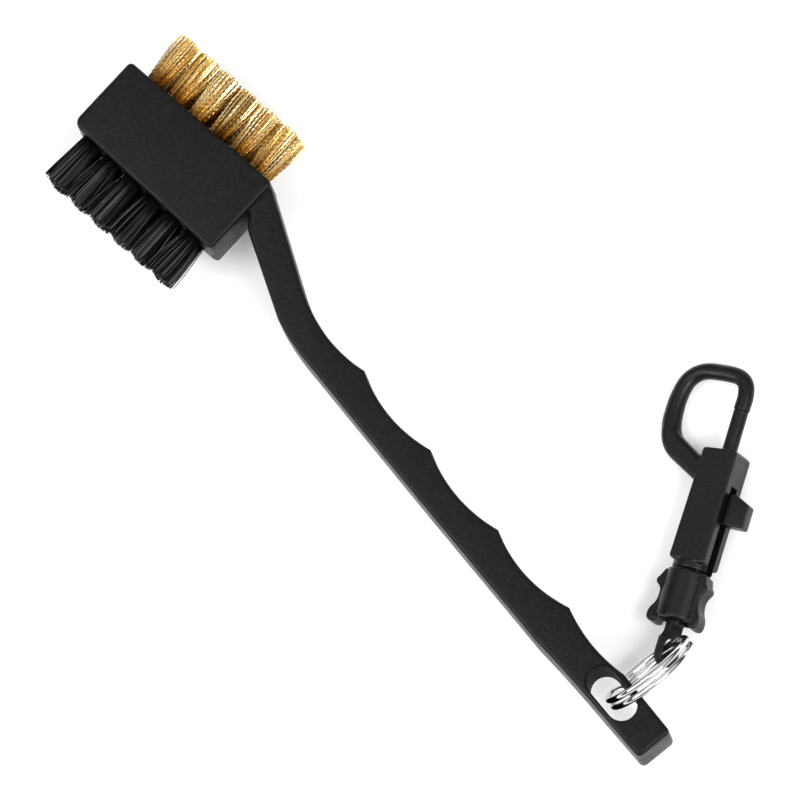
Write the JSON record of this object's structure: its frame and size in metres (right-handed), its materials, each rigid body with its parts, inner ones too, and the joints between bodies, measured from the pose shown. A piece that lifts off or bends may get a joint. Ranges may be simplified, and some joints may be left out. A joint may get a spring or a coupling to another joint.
{
  "type": "golf club groove brush",
  "caption": "Two-sided golf club cleaning brush with brass and nylon tufts, finger-grooved grip, split ring and swivel snap hook.",
  "frame": {"origin": "on the flat back of the brush head, in line with the grip, at the middle of the head", "axes": "+X along the grip from the head to the butt, +Y towards the finger grooves and the brass bristles, +Z out of the front face"},
  "size_m": [0.185, 0.0872, 0.0244],
  "materials": {
    "black_plastic": "satin, lightly textured moulding",
    "clip_plastic": "satin",
    "brass_wire": "crimped fine wire",
    "brass_anchor": "plain flat wire",
    "black_nylon": "straight stiff filaments",
    "ring_chrome": "polished plating",
    "spring_steel": "plain spring wire"
  },
  "bodies": {
    "brush": {"handle": "black_plastic", "brass_tuft_back_1": "brass_wire", "brass_tuft_back_2": "brass_wire", "brass_tuft_back_3": "brass_wire", "brass_tuft_back_4": "brass_wire", "brass_tuft_back_5": "brass_wire", "brass_tuft_back_6": "brass_wire", "brass_tuft_front_1": "brass_wire", "brass_tuft_front_2": "brass_wire", "brass_tuft_front_3": "brass_wire", "brass_tuft_front_4": "brass_wire", "brass_tuft_front_5": "brass_wire", "brass_tuft_front_6": "brass_wire", "nylon_tuft_back_1": "black_nylon", "nylon_tuft_back_2": "black_nylon", "nylon_tuft_back_3": "black_nylon", "nylon_tuft_back_4": "black_nylon", "nylon_tuft_back_5": "black_nylon", "nylon_tuft_back_6": "black_nylon", "nylon_tuft_front_1": "black_nylon", "nylon_tuft_front_2": "black_nylon", "nylon_tuft_front_3": "black_nylon", "nylon_tuft_front_4": "black_nylon", "nylon_tuft_front_5": "black_nylon", "nylon_tuft_front_6": "black_nylon", "brass_tuft_anchor_back_1": "brass_anchor", "brass_tuft_anchor_back_2": "brass_anchor", "brass_tuft_anchor_back_3": "brass_anchor", "brass_tuft_anchor_back_4": "brass_anchor", "brass_tuft_anchor_back_5": "brass_anchor", "brass_tuft_anchor_back_6": "brass_anchor", "brass_tuft_anchor_front_1": "brass_anchor", "brass_tuft_anchor_front_2": "brass_anchor", "brass_tuft_anchor_front_3": "brass_anchor", "brass_tuft_anchor_front_4": "brass_anchor", "brass_tuft_anchor_front_5": "brass_anchor", "brass_tuft_anchor_front_6": "brass_anchor", "nylon_tuft_anchor_back_1": "brass_anchor", "nylon_tuft_anchor_back_2": "brass_anchor", "nylon_tuft_anchor_back_3": "brass_anchor", "nylon_tuft_anchor_back_4": "brass_anchor", "nylon_tuft_anchor_back_5": "brass_anchor", "nylon_tuft_anchor_back_6": "brass_anchor", "nylon_tuft_anchor_front_1": "brass_anchor", "nylon_tuft_anchor_front_2": "brass_anchor", "nylon_tuft_anchor_front_3": "brass_anchor", "nylon_tuft_anchor_front_4": "brass_anchor", "nylon_tuft_anchor_front_5": "brass_anchor", "nylon_tuft_anchor_front_6": "brass_anchor"},
    "ring": {"split_ring": "ring_chrome"},
    "eye": {"swivel_eye": "clip_plastic"},
    "clip": {"snap_body": "clip_plastic", "finger_collar": "clip_plastic"},
    "bolt": {"slide_bolt": "clip_plastic", "bolt_spring": "spring_steel"}
  },
  "joints": [
    {"name": "ring_swing", "type": "hinge", "parent": "brush", "child": "ring", "pos_m": [0.14945, -0.0011, 0.0067], "axis": [0.3665, 0, 0.9304], "range_deg": [-40, 30]},
    {"name": "eye_pivot", "type": "hinge", "parent": "ring", "child": "eye", "pos_m": [0.14658, 0.01554, -0.00057], "axis": [0.2256, 0.788, 0.5728], "range_deg": [-60, 55]},
    {"name": "clip_swivel", "type": "hinge", "parent": "eye", "child": "clip", "pos_m": [0.14658, 0.01554, -0.00057], "axis": [-0.5707, 0.8211, 0], "continuous": true},
    {"name": "bolt_slide", "type": "slide", "parent": "clip", "child": "bolt", "axis": [0.5707, -0.8211, 0], "range_m": [0, 0.007], "stiffness_N_per_m": 150, "springref_m": -0.004, "deforming": ["bolt_spring"]}
  ]
}
